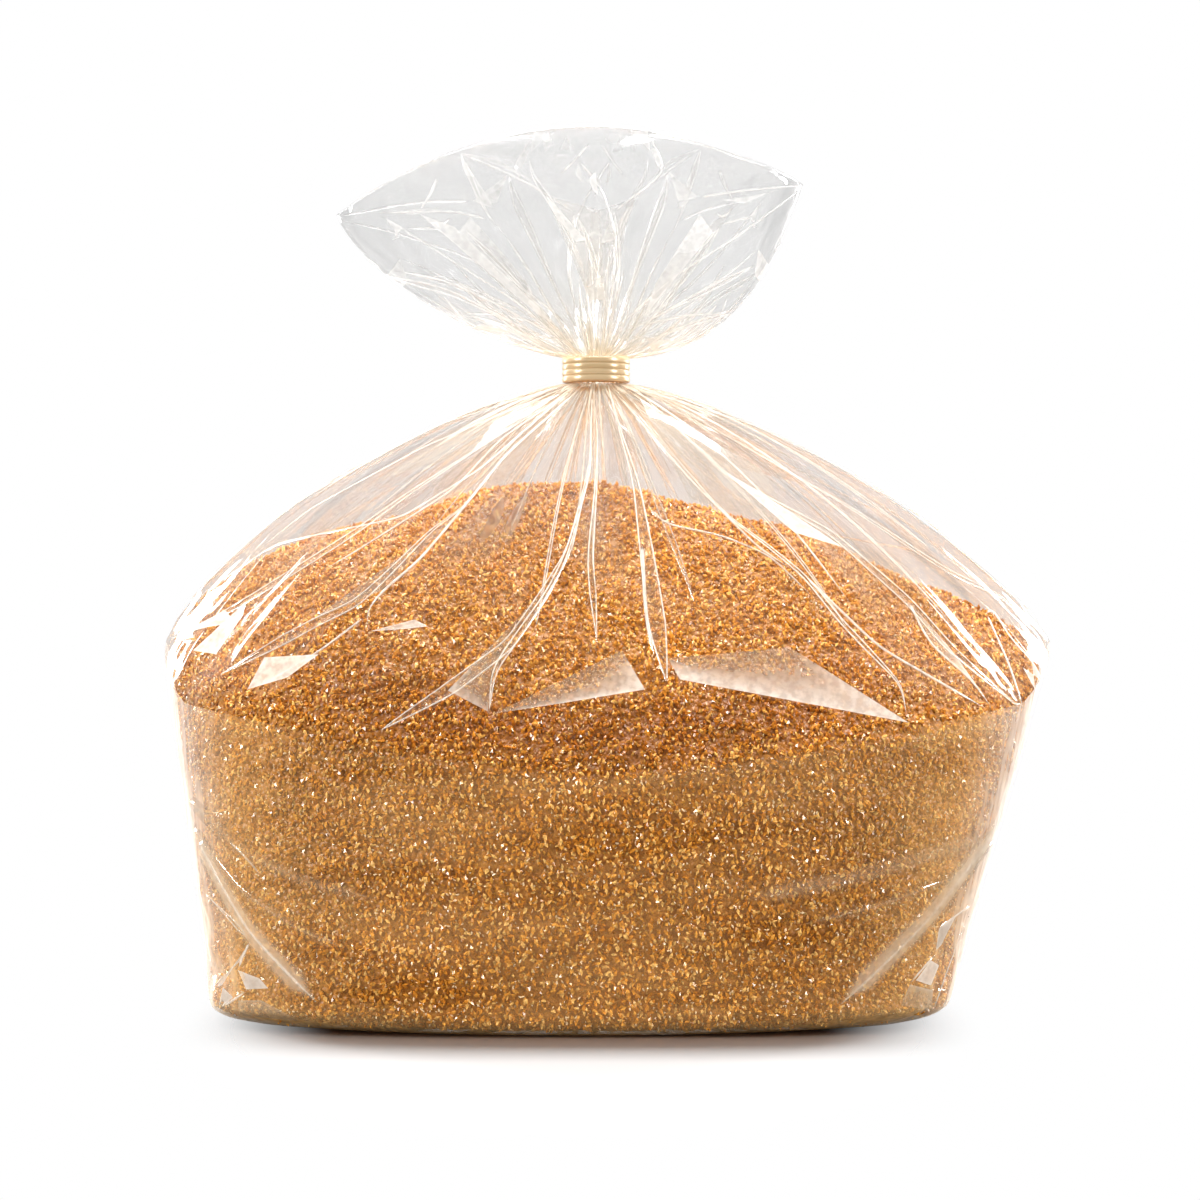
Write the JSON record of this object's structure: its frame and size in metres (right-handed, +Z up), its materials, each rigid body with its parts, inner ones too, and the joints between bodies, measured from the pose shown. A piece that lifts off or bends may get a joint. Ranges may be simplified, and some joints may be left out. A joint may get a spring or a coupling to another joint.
{
  "type": "tied clear bag of brown sugar",
  "caption": "Clear film bag of coarse golden-brown sugar, standing on its base, gathered at the neck by a ribbed band with an open frill above.",
  "frame": {"origin": "on the floor, under the middle of the bag's width and depth", "axes": "+Z up through the neck, +X to the bag's right as seen from the front, the front faces -Y"},
  "size_m": [0.2008, 0.114, 0.1992],
  "materials": {
    "film": "clear glossy film",
    "sugar": "golden-brown crystals",
    "band": "satin champagne beige"
  },
  "bodies": {
    "root": {"bag": "sugar", "neck_band": "band"}
  },
  "joints": []
}
